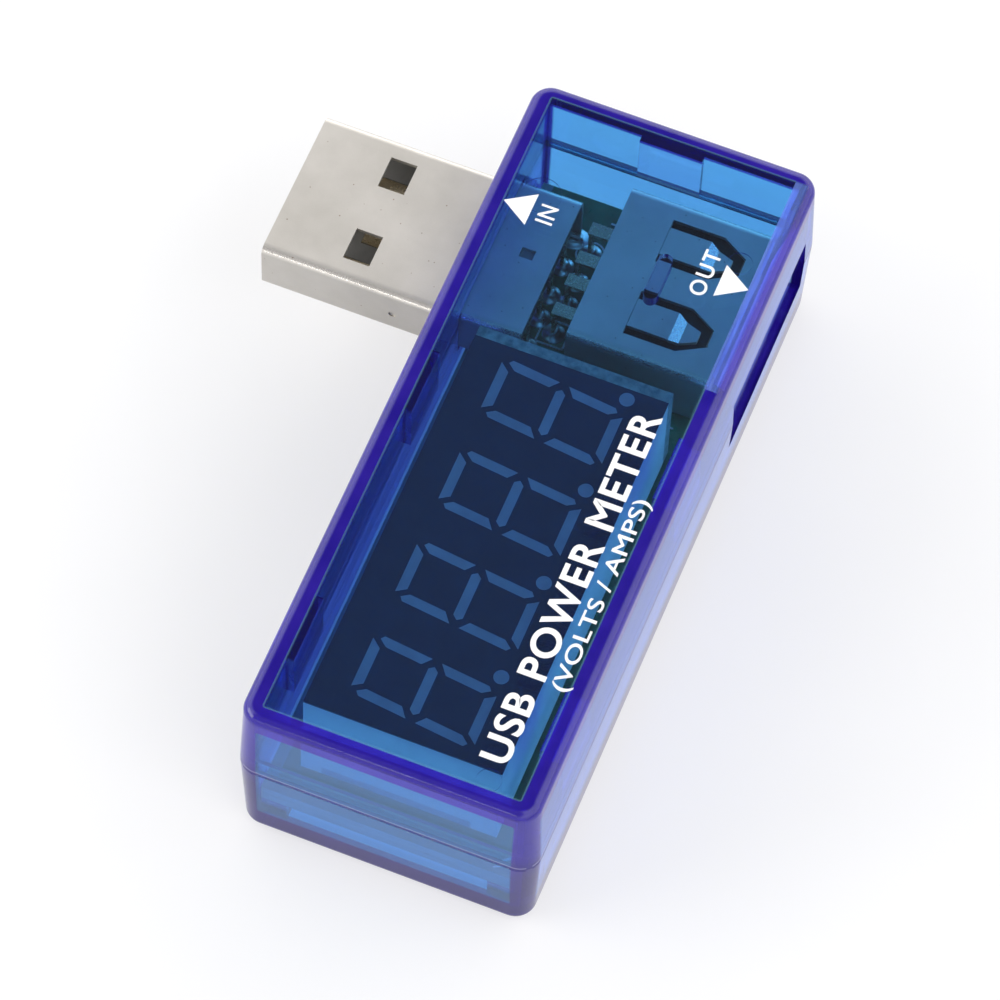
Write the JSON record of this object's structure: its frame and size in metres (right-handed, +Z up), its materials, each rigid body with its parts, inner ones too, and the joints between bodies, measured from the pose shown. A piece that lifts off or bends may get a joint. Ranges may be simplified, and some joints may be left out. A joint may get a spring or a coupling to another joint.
{
  "type": "usb power meter",
  "caption": "Inline power meter: clear blue case with a plug on one side, a socket on the other and a seven-segment display under the top.",
  "frame": {"origin": "middle of the case's underside, where it rests on a table", "axes": "+Z up out of the display face, +Y along the case towards the end with the connectors, -X the way the plug points, +X the way the socket opens"},
  "size_m": [0.0345, 0.054, 0.0154],
  "materials": {
    "case_plastic": "clear blue moulded plastic, polished",
    "circuit_board": "glass-epoxy board with green solder mask",
    "nickel": "nickel-plated steel sheet, fine satin",
    "contact_gold": "gold-flashed bronze strip",
    "insulator": "dark grey moulded insulator",
    "display_white": "white display housing",
    "display_mask": "matt black face",
    "segment": "milky resin, unlit",
    "package": "black moulded epoxy",
    "tin": "tinned leads",
    "ceramic": "brown ceramic",
    "resistor_body": "black glazed ceramic",
    "ink": "white printed ink"
  },
  "bodies": {
    "meter": {"top_shell": "case_plastic", "bottom_shell": "case_plastic", "circuit_board": "circuit_board", "plug_shell": "nickel", "socket_shell": "nickel", "plug_contacts": "contact_gold", "socket_terminals": "contact_gold", "plug_insulator": "insulator", "socket_insulator": "insulator", "display_housing": "display_white", "display_mask": "display_mask", "digit_1": "segment", "digit_2": "segment", "digit_3": "segment", "digit_4": "segment", "microcontroller": "package", "amplifier": "package", "voltage_regulator": "package", "display_pins": "tin", "microcontroller_leads": "tin", "amplifier_leads": "tin", "regulator_leads": "tin", "chip_terminals": "tin", "chip_capacitors": "ceramic", "chip_resistors": "resistor_body", "shunt_resistor": "resistor_body", "printed_arrows": "ink"},
    "contact_springs": {"contact_spring_1": "contact_gold", "contact_spring_2": "contact_gold", "contact_spring_3": "contact_gold", "contact_spring_4": "contact_gold"},
    "retention_springs": {"retention_spring_1": "nickel", "retention_spring_2": "nickel"}
  },
  "joints": [
    {"name": "contact_deflection", "type": "hinge", "parent": "meter", "child": "contact_springs", "pos_m": [0.001, 0.0171, 0.00833], "axis": [0, -1, 0], "range_deg": [0, 4], "stiffness_Nm_per_rad": 0.05},
    {"name": "retention_deflection", "type": "hinge", "parent": "meter", "child": "retention_springs", "pos_m": [0.00163, 0.0171, 0.0106], "axis": [0, -1, 0], "range_deg": [0, 4], "stiffness_Nm_per_rad": 0.08}
  ]
}
